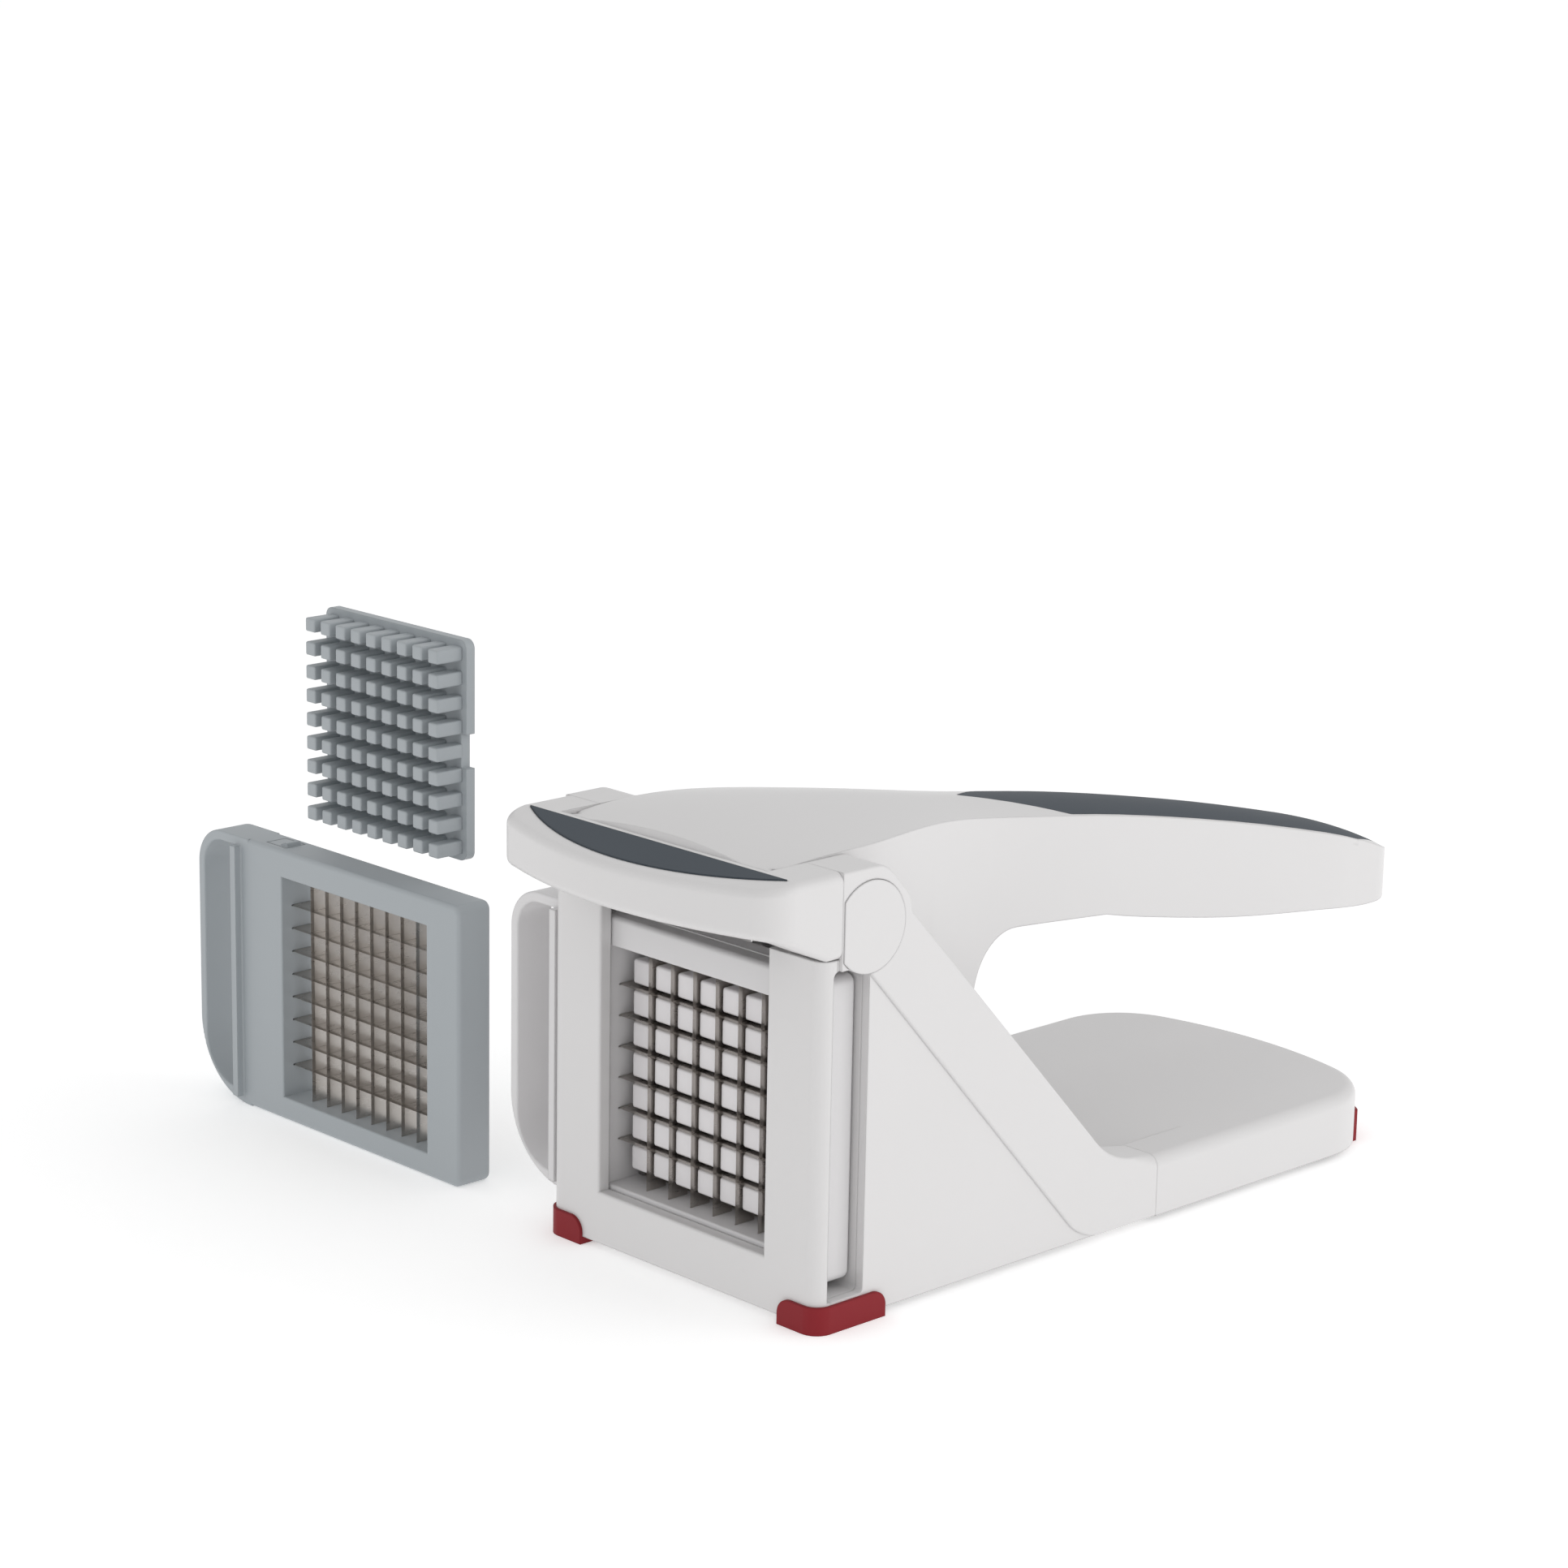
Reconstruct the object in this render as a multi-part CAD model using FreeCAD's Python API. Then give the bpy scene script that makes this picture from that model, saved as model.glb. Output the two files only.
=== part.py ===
"""Lever-operated vegetable dicer with a spare blade cartridge and a spare pusher.

Frame while drawing: X to the right, Y to the rear, Z up, millimetres. X = 0 is the
mid-plane of the dicer, Y = 0 is its front face and Z = 0 is the underside of its body.
Every solid is moved to the export frame in one place, at the end of the file.
"""
import FreeCAD, Part
import math
import os

V = FreeCAD.Vector

# ---- body ----
BODY_HALF = 60.0          # half width of the housing
BODY_CORNER = 5.0         # radius of the two front corners in plan
FRONT_WALL = 4.4          # wall in front of the blade slot
SLOT_DEPTH = 14.6         # blade slot, front to rear
SLOT_BOTTOM = 7.0
SLOT_TOP = 108.5
BACK_WALL = 3.0           # wall behind the blade slot
OPENING_HALF = 37.0       # front opening, half width
OPENING_SILL = 16.6       # top of the front sill
POST_TOP = 111.8          # top of the two front posts
PANEL = 3.0               # side panel thickness
BAND_PROUD = 1.0          # how far the leg band and the base stand out past the side panel
LEG_INNER = BODY_HALF - 13.0     # inner face of each diagonal leg
FOOT_DROP = 2.5           # the feet lift the body this much off the table
SEAM_Y = 6.5              # joint between the front bar and the pivot cheeks
ARM_INNER = 45.3          # inner face of the bar's arms and of the pivot cheeks
ARM_TOP = 138.0

WINDOW_EASE = 0.8
BAND_EASE = 0.8
SKIM = 0.01

# ---- pivot and lever travel ----
PIVOT_Y = 18.0
PIVOT_Z = 120.0
PIVOT_R = 4.0
PIVOT_PLAY = 0.08
LEVER_OPEN_DEG = 58.0
LINK_Y = 40.0             # link pin with the lever closed
LINK_Z = 32.0
LINK_R = 4.0
LINK_PLAY = 0.35
CARRIAGE_TRAVEL = 64.3    # for the full swing of the lever
CYLINDER_GAP = 0.6        # between the lever's round nose and the front bar
NOSE_R = 31.6             # the lever's nose is a cylinder about the pivot

# ---- legs and rear base ----
LEG_TOP_A = (29.3, 128.0)     # two points on the leg's upper edge
LEG_TOP_B = (109.1, 43.5)
LEG_LOW_A = (27.1, 96.4)      # two points on its lower edge
LEG_LOW_B = (97.3, 19.8)
LEG_FOOT_END = 150.0
BASE_TOP = 20.0
BASE_START = 110.0
BASE_CORNER = 30.0
BASE_END = 274.0
BASE_CORNER_Y = BASE_END - 38.0  # where the side starts to turn
BASE_WALL = 3.0
BASE_EDGE = 4.0           # rounding of the pad's top edge
VALLEY_TOP = 16.3
VALLEY_HALF = 46.0

# ---- chamber tray ----
TRAY_INNER = 40.0
TRAY_WALL = 3.5
TRAY_FLOOR = 3.0
GROOVE = (21.0, 27.0)     # guide groove in each tray wall
GROOVE_DEPTH = 2.0

# ---- cartridges ----
GRID_Z = 56.5             # centre of the blade grid above the body's underside
CART_HALF_IN = 38.5       # opening of a cartridge, half
CART_RIGHT = BODY_HALF - 5.0
CART_LEFT = -BODY_HALF - 0.8
CART_FRONT = 4.9
CART_BACK = 18.5
CART_BOTTOM = 10.0
CART_TOP = 104.5
FLANGE = 2.8
FLANGE_PROUD = 2.6
LOOP_REACH = 24.4
LOOP_STRAP = 3.4
BLADE = 0.5
BLADE_FRONT = 9.2
BLADE_BACK = 17.0
BLADE_HOLD = 2.5          # length of blade held in the frame at each end
LAP_PLAY = 0.05
WHITE_PITCH = 10.0
WHITE_CELLS = 7
SPARE_PITCH = 8.0
SPARE_CELLS = 9

# ---- pushers ----
STUD_TIP = 11.0
PLATE_FRONT = 21.3
PLATE = 3.5
PLATE_HALF = 36.5
WHITE_STUD = 8.5          # width of a stud
WHITE_STUD_TALL = 7.9
WHITE_STUD_EASE = 0.9
SPARE_STUD = 4.9
SPARE_STUD_TALL = 4.6
SPARE_STUD_EASE = 0.6

# ---- place of the spare set beside the dicer ----
SPARE_X = -BODY_HALF - 103.5
SPARE_Y = -2.0
SPARE_PUSHER_Z = 136.6    # height of its centre
SPARE_PUSHER_Y = 0.0


# ------------------------------------------------------------------ drawing helpers
def box(x0, x1, y0, y1, z0, z1):
    return Part.makeBox(x1 - x0, y1 - y0, z1 - z0, V(x0, y0, z0))


def on_yz(x):
    return lambda u, v: V(x, u, v)


def on_xz(y):
    return lambda u, v: V(u, y, v)


def on_xy(z):
    return lambda u, v: V(u, v, z)


def outline(corners, place):
    """Closed wire through (u, v) or (u, v, radius) corners, each radius a tangent arc."""
    edges = []
    ends = []
    n = len(corners)
    for i in range(n):
        u, v = corners[i][:2]
        r = corners[i][2] if len(corners[i]) > 2 else 0.0
        pu, pv = corners[i - 1][:2]
        nu, nv = corners[(i + 1) % n][:2]
        if r <= 0.0:
            ends.append(((u, v), None, (u, v)))
            continue
        au, av = pu - u, pv - v
        bu, bv = nu - u, nv - v
        la, lb = math.hypot(au, av), math.hypot(bu, bv)
        au, av, bu, bv = au / la, av / la, bu / lb, bv / lb
        half = math.acos(max(-1.0, min(1.0, au * bu + av * bv))) / 2.0
        t = r / math.tan(half)
        mu, mv = au + bu, av + bv
        lm = math.hypot(mu, mv)
        d = r / math.sin(half) - r
        ends.append(((u + au * t, v + av * t),
                     (u + mu / lm * d, v + mv / lm * d),
                     (u + bu * t, v + bv * t)))
    for i in range(n):
        first, mid, last = ends[i]
        if mid:
            arc = Part.Arc(place(*first), place(*mid), place(*last))
            edges.append(arc.toShape())
        start = place(*last)
        stop = place(*ends[(i + 1) % n][0])
        if start.distanceToPoint(stop) > 1e-6:
            edges.append(Part.LineSegment(start, stop).toShape())
    return Part.Wire(edges)


def prism(corners, place, run):
    """Extrude an outline by the vector run."""
    return Part.Face(outline(corners, place)).extrude(run)


def across(corners, x0, x1):
    return prism(corners, on_yz(x0), V(x1 - x0, 0, 0))


def through(corners, y0, y1):
    return prism(corners, on_xz(y0), V(0, y1 - y0, 0))


def upright(corners, z0, z1):
    return prism(corners, on_xy(z0), V(0, 0, z1 - z0))


def rod(radius, x0, x1, y, z):
    return Part.makeCylinder(radius, x1 - x0, V(x0, y, z), V(1, 0, 0))


def mirrored(shape):
    return shape.mirror(V(0, 0, 0), V(1, 0, 0))


def slope_y(a, b, z):
    """Y of the line through a and b, each (y, z), at height z."""
    return a[0] + (b[0] - a[0]) * (z - a[1]) / (b[1] - a[1])


def join(first, *rest):
    return first.fuse(list(rest)).removeSplitter()


def holds(space, b):
    """Whether the bounding box b lies in space, given as (x0, x1, y0, y1, z0, z1)."""
    x0, x1, y0, y1, z0, z1 = space
    return (b.XMin >= x0 and b.XMax <= x1 and b.YMin >= y0 and b.YMax <= y1
            and b.ZMin >= z0 and b.ZMax <= z1)


def eased(shape, radius, inside, *outside):
    """Round the edges that lie in one box and in none of the others."""
    chosen = [e for e in shape.Edges if holds(inside, e.BoundBox)
              and not any(holds(space, e.BoundBox) for space in outside)]
    return shape.makeFillet(radius, chosen)


# ------------------------------------------------------------------ housing
BAND_OUT = BODY_HALF + BAND_PROUD
CAP_IN = BAND_OUT - 2.5
SLOT_BACK = FRONT_WALL + SLOT_DEPTH


def slot_cutter(x0, x1):
    """The upright slot that a blade cartridge slides into, rounded at its top rear."""
    return across([(FRONT_WALL, SLOT_BOTTOM), (SLOT_BACK, SLOT_BOTTOM, 1.5),
                   (SLOT_BACK, SLOT_TOP, 5.0), (FRONT_WALL, SLOT_TOP, 2.0)], x0, x1)


def front_frame():
    """Front wall with its opening, and the wall behind the blade slot."""
    deep = SLOT_BACK + BACK_WALL
    inner = BODY_HALF - PANEL
    plan = [(-BODY_HALF, 0, BODY_CORNER), (BODY_HALF, 0, BODY_CORNER),
            (BODY_HALF, FRONT_WALL + 1.4), (inner, FRONT_WALL + 1.4), (inner, deep),
            (-inner, deep), (-inner, FRONT_WALL + 1.4), (-BODY_HALF, FRONT_WALL + 1.4)]
    block = upright(plan, 0.0, POST_TOP)
    window = box(-OPENING_HALF, OPENING_HALF, -1, FRONT_WALL + 0.1, OPENING_SILL, POST_TOP + 1)
    wide = box(-TRAY_INNER, TRAY_INNER, SLOT_BACK - 0.1, deep + 1, OPENING_SILL, POST_TOP + 1)
    above = box(-TRAY_INNER, TRAY_INNER, FRONT_WALL - 0.1, SLOT_BACK + 0.1, SLOT_TOP - 1, POST_TOP + 1)
    frame = block.cut(window).cut(wide).cut(above).cut(slot_cutter(-BAND_OUT, BAND_OUT))
    h = OPENING_HALF + SKIM
    return eased(frame, WINDOW_EASE, (-h, h, -SKIM, SKIM, OPENING_SILL - SKIM, POST_TOP + SKIM))


HEEL_Z = 24.5             # where the leg's upper edge turns into the base's rim
RIM_START = 138.0         # from here to the leg's end the rim grows as round as the pad's


def leg_profile():
    """Side view of a diagonal leg, from its pivot cheek to its foot in the base."""
    top_y = slope_y(LEG_TOP_A, LEG_TOP_B, ARM_TOP)
    heel_y = slope_y(LEG_TOP_A, LEG_TOP_B, HEEL_Z)
    toe_y = slope_y(LEG_LOW_A, LEG_LOW_B, 0.0)
    cheek_y = slope_y(LEG_LOW_A, LEG_LOW_B, 108.0)
    return [(SEAM_Y, 108.0, 2.0), (SEAM_Y, ARM_TOP), (top_y, ARM_TOP, 15.0),
            (heel_y, HEEL_Z, 28.0), (LEG_FOOT_END, BASE_TOP), (LEG_FOOT_END, 0.0),
            (toe_y, 0.0, 22.0), (cheek_y, 108.0, 4.0)]


def side_frame():
    """Right side: flat panel, diagonal leg, pivot cheek and the pin's hole."""
    toe_y = slope_y(LEG_LOW_A, LEG_LOW_B, 0.0)
    panel = across([(FRONT_WALL + 1.4, 0.0), (toe_y + 8.0, 0.0), (110.0, 30.0),
                    (30.0, 112.0), (FRONT_WALL + 1.4, 112.0)], BODY_HALF - PANEL, BODY_HALF)
    leg = across(leg_profile(), LEG_INNER, BAND_OUT)
    cheek = across([(SEAM_Y, 108.0), (SEAM_Y, ARM_TOP), (24.0, ARM_TOP, 9.0),
                    (37.0, 124.0, 10.0), (30.0, 108.0, 4.0)], ARM_INNER, BAND_OUT)
    side = join(panel, leg, cheek)
    side = side.cut(slot_cutter(ARM_INNER - 1, BAND_OUT + 1))
    side = side.cut(box(0, BODY_HALF - PANEL, 0, SLOT_BACK + BACK_WALL, 0, POST_TOP))
    side = side.cut(box(0, BAND_OUT + 1, 0, SEAM_Y, POST_TOP, 150))
    side = side.cut(rod(PIVOT_R, ARM_INNER - 1, CAP_IN, PIVOT_Y, PIVOT_Z))
    side = side.cut(cap_profile(0.0, CAP_IN, BAND_OUT + 1))
    at_seam = (0, 99, LEG_FOOT_END - SKIM, LEG_FOOT_END + SKIM, -1, 150)
    side = eased(side, BAND_EASE, (BAND_OUT - SKIM, 99, -1, 200, -1, 150),
                 (0, 99, -1, 34.0, 100.0, 150), at_seam)
    return side.cut(rim_cutter())


def rim_corner(y, z, r):
    """What lies outside the rim's rounded corner at y, where the rim's top is at z."""
    x = BAND_OUT
    arc = Part.Arc(V(x, y, z - r), V(x - r + r * math.sqrt(0.5), y, z - r + r * math.sqrt(0.5)), V(x - r, y, z))
    rest = [V(x - r, y, z), V(x - r, y, z + 1), V(x + 1, y, z + 1), V(x + 1, y, z - r), V(x, y, z - r)]
    edges = [arc.toShape()] + [Part.LineSegment(p, q).toShape() for p, q in zip(rest, rest[1:])]
    return Part.Wire(edges)


def rim_cutter():
    """Takes the leg's crisp rim over to the pad's rounder one."""
    heel_y = slope_y(LEG_TOP_A, LEG_TOP_B, HEEL_Z)
    fall = (HEEL_Z - BASE_TOP) / (LEG_FOOT_END - heel_y)
    start_z = BASE_TOP + fall * (LEG_FOOT_END - RIM_START)
    crisp = rim_corner(RIM_START, start_z, BAND_EASE)
    soft = rim_corner(LEG_FOOT_END, BASE_TOP, BASE_EDGE)
    return Part.makeLoft([crisp, soft], True, True)


def cap_profile(inset, x0, x1):
    """The D of a pivot cap: round, cut straight at the seam."""
    disc = rod(14.2 - inset, x0, x1, PIVOT_Y, PIVOT_Z)
    return disc.common(box(x0, x1, SEAM_Y + 0.6 + inset, PIVOT_Y + 20, PIVOT_Z - 20, PIVOT_Z + 20))


def pivot_cap():
    return cap_profile(0.15, CAP_IN, BAND_OUT + 0.25)


def pivot_pin():
    """Stub axle from the cheek into the lever's side wall, with a flange inside the lever."""
    return rod(PIVOT_R, ARM_INNER - 8.3, CAP_IN, PIVOT_Y, PIVOT_Z)


def base_plan(inset):
    """Plan of the rear pad: straight sides, round corners, bowed rear edge."""
    h = BAND_OUT - inset
    front = BASE_START + inset
    side_y = BASE_END - 11.0 - inset
    corners = [(-h, front), (h, front), (h, side_y, BASE_CORNER - inset),
               (0.0, BASE_END + 4.8 - inset, 150.0 - 5.0 * max(inset, 0.0)), (-h, side_y, BASE_CORNER - inset)]
    return Part.Face(outline(corners, on_xy(0.0)))


def rear_base(sides):
    """Wide hollow pad behind the legs, rounded over at its top edge."""
    pad = base_plan(0.0).extrude(V(0, 0, BASE_TOP))
    rim = [e for e in pad.Edges
           if e.BoundBox.ZMin > BASE_TOP - 0.01 and e.BoundBox.YMax > BASE_START + 1]
    pad = pad.makeFillet(BASE_EDGE, rim)
    valley = across([(BASE_START - 5, VALLEY_TOP), (138.0, VALLEY_TOP, 60.0), (185.0, BASE_TOP + 0.5),
                     (185.0, 40.0), (BASE_START - 5, 40.0)], -VALLEY_HALF, VALLEY_HALF)
    hollow = base_plan(BASE_WALL).extrude(V(0, 0, VALLEY_TOP - BASE_WALL))
    beside_leg = box(LEG_INNER, BAND_OUT + 1, BASE_START - 1, LEG_FOOT_END, -1, BASE_TOP + 1)
    pad = pad.cut(valley).cut(hollow).cut(beside_leg).cut(mirrored(beside_leg))
    for side in sides:
        pad = pad.cut(side)
    return pad


def chamber_tray():
    """Floor and two inner walls of the food chamber, grooved to guide the pusher carriage."""
    front = SLOT_BACK + BACK_WALL
    floor_z = OPENING_SILL - TRAY_FLOOR
    out = TRAY_INNER + TRAY_WALL
    floor = box(-out, out, front, BASE_START, floor_z, OPENING_SILL - 0.3)
    wall = across([(front, floor_z), (front, 110.0, 6.0), (36.0, 110.0, 4.0), (BASE_START, 33.0),
                   (BASE_START, floor_z)], TRAY_INNER, out)
    groove = box(TRAY_INNER - 1, TRAY_INNER + GROOVE_DEPTH, front - 1, BASE_START + 1, *GROOVE)
    wall = wall.cut(groove)
    return join(floor, wall, mirrored(wall))


def bottom_plate():
    """Flat cover under the body, set in from the walls."""
    inset = 4.2
    plan = [(-(BODY_HALF - inset), inset + 2, 3.0), (BODY_HALF - inset, inset + 2, 3.0),
            (BODY_HALF - inset, BASE_CORNER_Y, 24.0), (30.0, BASE_END - 14.0, 20.0),
            (-30.0, BASE_END - 14.0, 20.0), (-(BODY_HALF - inset), BASE_CORNER_Y, 24.0)]
    return upright(plan, -0.6, 0.0)


# ------------------------------------------------------------------ feet
def wrap_block(extra, z0, z1):
    """The housing's front corner block, grown outwards by extra."""
    w = BODY_HALF + extra
    return upright([(-w, -extra, BODY_CORNER + extra), (w, -extra, BODY_CORNER + extra),
                    (w, 60.0), (-w, 60.0)], z0, z1)


FOOT_SKIN = 1.0
FOOT_TOP = 6.2


def front_foot():
    """Right front foot: a pad under the corner with a skin turned up on both walls."""
    outer = wrap_block(FOOT_SKIN, -FOOT_DROP, FOOT_TOP).cut(wrap_block(0.0, 0.0, FOOT_TOP + 1))
    arm_x, arm_y, deep = 44.3, 28.0, 9.0
    low = -FOOT_DROP - 1
    front_arm = through([(arm_x, low), (arm_x, FOOT_TOP, 5.0), (BAND_OUT + 1, FOOT_TOP),
                         (BAND_OUT + 1, low)], -5.0, deep)
    side_arm = across([(arm_y, low), (arm_y, FOOT_TOP, 5.0), (-5.0, FOOT_TOP), (-5.0, low)],
                      BODY_HALF - deep, BAND_OUT + 1)
    return outer.common(front_arm.fuse(side_arm)).cut(bottom_plate())


def rear_foot():
    """Right rear foot: hugs the base's round corner."""
    outer = base_plan(-1.6).extrude(V(0, 0, 8.5 + FOOT_DROP))
    outer.translate(V(0, 0, -FOOT_DROP))
    outer = outer.cut(base_plan(0.0).extrude(V(0, 0, 30)))
    keep = box(BODY_HALF - 34.0, BODY_HALF - 8.5, BASE_END - 28.0, BASE_END + 8, -FOOT_DROP - 1, 20)
    return outer.common(keep).cut(bottom_plate())


# ------------------------------------------------------------------ front bar
def bar_plan():
    h = BAND_OUT
    a = 12.0
    front = -31.5
    edges = [Part.LineSegment(V(h, SEAM_Y, 0), V(h, -a, 0)).toShape(),
             Part.Arc(V(h, -a, 0), V(h - 2.6, -19.0, 0), V(h - 9.0, -23.0, 0)).toShape(),
             Part.Arc(V(h - 9.0, -23.0, 0), V(0, front, 0), V(9.0 - h, -23.0, 0)).toShape(),
             Part.Arc(V(9.0 - h, -23.0, 0), V(2.6 - h, -19.0, 0), V(-h, -a, 0)).toShape(),
             Part.LineSegment(V(-h, -a, 0), V(-h, SEAM_Y, 0)).toShape(),
             Part.LineSegment(V(-h, SEAM_Y, 0), V(h, SEAM_Y, 0)).toShape()]
    return Part.Face(Part.Wire(edges))


INLAY_BACK_Y = -11.5
INLAY_FRONT_Y = -27.0
INLAY_HALF = BODY_HALF - 3.0
INLAY_RISE = 0.15         # the bar's top falls forward by this much
TIP_SHRINK = 4.5          # the pointed tips draw back more than the edges do


def bar_top_z(y):
    return ARM_TOP + INLAY_RISE * (y - INLAY_BACK_Y)


def inlay_prism(shrink, z0, z1):
    half = INLAY_HALF - TIP_SHRINK * shrink
    back = INLAY_BACK_Y - shrink
    front = INLAY_FRONT_Y + shrink
    edges = [Part.LineSegment(V(half, back, z0), V(-half, back, z0)).toShape(),
             Part.Arc(V(-half, back, z0), V(0, front, z0), V(half, back, z0)).toShape()]
    return Part.Face(Part.Wire(edges)).extrude(V(0, 0, z1 - z0))


def inlay_slab(low, high):
    """Layer that follows the bar's top from low to high above it."""
    a, b = -40.0, 0.0
    return across([(a, bar_top_z(a) + low), (b, bar_top_z(b) + low),
                   (b, bar_top_z(b) + high), (a, bar_top_z(a) + high)], -BAND_OUT, BAND_OUT)


BAR_ROUND = 3.0
BAR_REACH = -40.0         # in front of everything on the bar


def front_bar():
    """Carrying bar bowed across the front, with an arm back to each pivot cheek."""
    side = across([(SEAM_Y, POST_TOP), (2.0, POST_TOP), (-18.0, 121.0, 12.0), (BAR_REACH, 121.0),
                   (BAR_REACH, bar_top_z(BAR_REACH)), (INLAY_BACK_Y, ARM_TOP), (SEAM_Y, ARM_TOP)],
                  -BAND_OUT, BAND_OUT)
    bar = bar_plan().extrude(V(0, 0, 150)).common(side)
    rims = []
    for e in bar.Edges:
        b = e.BoundBox
        at_seam = b.YMin > SEAM_Y - 0.1
        straight_across = b.XLength > 100.0 and b.YLength < SKIM
        if (b.ZMin > 130.0 or b.ZMax < 125.0) and not at_seam and not straight_across:
            rims.append(e)
    bar = bar.makeFillet(BAR_ROUND, rims)
    hollow = rod(NOSE_R + CYLINDER_GAP, -ARM_INNER, ARM_INNER, PIVOT_Y, PIVOT_Z)
    behind = box(-ARM_INNER, ARM_INNER, -6.0, 30.0, 100, 150)
    bar = bar.cut(hollow).cut(behind)
    return bar.cut(inlay_prism(0.0, 100, 150).common(inlay_slab(-1.6, 20.0)))


def bar_inlay():
    """Soft-touch strip let into the bar."""
    return inlay_prism(0.15, 100, 150).common(inlay_slab(-1.6, 0.35))


# ------------------------------------------------------------------ lever
LEVER_TOP = [(15.0, 141.6), (40.0, 141.2), (66.0, 139.2), (90.0, 136.2), (112.0, 132.6),
             (163.0, 124.6), (203.0, 117.0), (245.0, 107.8), (271.0, 101.4), (289.0, 96.6),
             (307.0, 90.6), (319.0, 85.6)]
LEVER_LOW = [(320.0, 65.6), (312.0, 65.2), (290.0, 67.4), (259.0, 71.2), (225.0, 76.0),
             (200.0, 80.6), (175.0, 85.8), (160.0, 89.6)]
LEVER_PLAN = [(0.0, 44.5), (12.0, 44.5), (24.0, 44.2), (36.0, 42.8), (50.0, 39.0), (66.0, 33.4),
              (88.0, 26.2), (112.0, 21.6), (150.0, 19.8), (220.0, 19.0), (290.0, 18.4)]
LEVER_END = 328.0
PADDLE_SKIRT = 126.0      # lower edge of the paddle's side walls
LEVER_WALL = 2.6
NOSE_RISE = 24.0          # how far above the pivot the round nose ends


LEVER_CEILING = 165.0     # above everything; the crown surface sets the real top
CROWN_END = [(-22.0, 136.6), (-6.6, 139.8)]
CROWN_TAIL = [(328.0, 80.6), (336.0, 74.0)]
CROWN_DROP = 3.2          # how much lower the top is at its sides than along its middle


def lever_profile(inset):
    """Side view of the lever below its crown: paddle in front, thick handle behind."""
    low = [V(0, y, z + inset) for y, z in LEVER_LOW]
    nose_r = NOSE_R - inset
    nose_top = V(0, PIVOT_Y - math.sqrt(nose_r ** 2 - NOSE_RISE ** 2), PIVOT_Z + NOSE_RISE)
    low_dz = PADDLE_SKIRT - 2.0 - PIVOT_Z
    nose_low = V(0, PIVOT_Y - math.sqrt(nose_r ** 2 - low_dz ** 2), PIVOT_Z + low_dz)
    mid = math.radians(155.0)
    nose_mid = V(0, PIVOT_Y + nose_r * math.cos(mid), PIVOT_Z + nose_r * math.sin(mid))
    lower = Part.BSplineCurve()
    lower.interpolate(low)
    end_y = LEVER_END - inset
    heel = V(0, end_y, 78.0)
    tail = Part.Arc(heel, V(0, end_y - 2.6, 69.6 + inset), low[0])
    elbow = V(0, 118.0, PADDLE_SKIRT)
    corners = [nose_top, V(0, nose_top.y, LEVER_CEILING), V(0, end_y, LEVER_CEILING), heel]
    edges = [Part.Arc(nose_low, nose_mid, nose_top).toShape()]
    edges += [Part.LineSegment(p, q).toShape() for p, q in zip(corners, corners[1:])]
    edges += [tail.toShape(), lower.toShape(), Part.Arc(low[-1], V(0, 138.0, 101.0), elbow).toShape(),
              Part.LineSegment(elbow, V(0, 20.0, PADDLE_SKIRT)).toShape(),
              Part.LineSegment(V(0, 20.0, PADDLE_SKIRT), nose_low).toShape()]
    return Part.Wire(edges)


def plan_half(y):
    """Half width of the lever at y, straight between its plan points."""
    for (ya, xa), (yb, xb) in zip(LEVER_PLAN, LEVER_PLAN[1:]):
        if y <= yb:
            return xa + (xb - xa) * max(0.0, y - ya) / (yb - ya)
    return LEVER_PLAN[-1][1]


def under_crown(drop):
    """Everything below the lever's crowned top, lowered by drop."""
    rows = []
    for y, z in CROWN_END + LEVER_TOP + CROWN_TAIL:
        half = plan_half(y) * 1.2
        rows.append([V(half * t, y, z - drop - CROWN_DROP * (1.2 * t) ** 2)
                     for t in (-1.0, -0.66, -0.33, 0.0, 0.33, 0.66, 1.0)])
    crown = Part.BSplineSurface()
    crown.interpolate(rows)
    return crown.toShape().extrude(V(0, 0, -150.0))


def lever_plan(inset):
    """Top view of the lever: wide over the chamber, narrow at the grip, round at its end."""
    right = [V(x - inset, y, 0) for y, x in LEVER_PLAN]
    left = [V(-p.x, p.y, 0) for p in reversed(right)]
    start = V(right[0].x, -30.0, 0)
    side_r = Part.BSplineCurve()
    side_r.interpolate(right)
    side_l = Part.BSplineCurve()
    side_l.interpolate(left)
    end_y = LEVER_END - inset
    reach = right[-1].x
    tip_a = V(reach - 2.0, end_y - 17.0, 0)
    tip_b = V(-tip_a.x, tip_a.y, 0)
    edges = [Part.LineSegment(start, right[0]).toShape(), side_r.toShape(),
             Part.LineSegment(right[-1], tip_a).toShape(),
             Part.Arc(tip_a, V(0, end_y, 0), tip_b).toShape(),
             Part.LineSegment(tip_b, left[0]).toShape(), side_l.toShape(),
             Part.LineSegment(left[-1], V(-start.x, start.y, 0)).toShape(),
             Part.LineSegment(V(-start.x, start.y, 0), start).toShape()]
    return Part.Face(Part.Wire(edges))


def lever_block(inset, side_inset):
    side = Part.Face(lever_profile(inset)).extrude(V(100, 0, 0))
    side.translate(V(-50, 0, 0))
    block = side.common(lever_plan(side_inset).extrude(V(0, 0, 200)))
    return block.common(under_crown(inset))


COVER_PLAY = 0.15
COVER_LINE = [(118.0, 111.0), (163.0, 102.5), (220.0, 91.5), (300.0, 76.0), (340.0, 68.2)]


def cover_cutter(gap):
    """Everything below the joint between the lever's shell and its lower cover."""
    pts = [(y, z - gap) for y, z in COVER_LINE]
    return across([(118.0, 20.0)] + pts + [(340.0, 20.0)], -60, 60)


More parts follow.
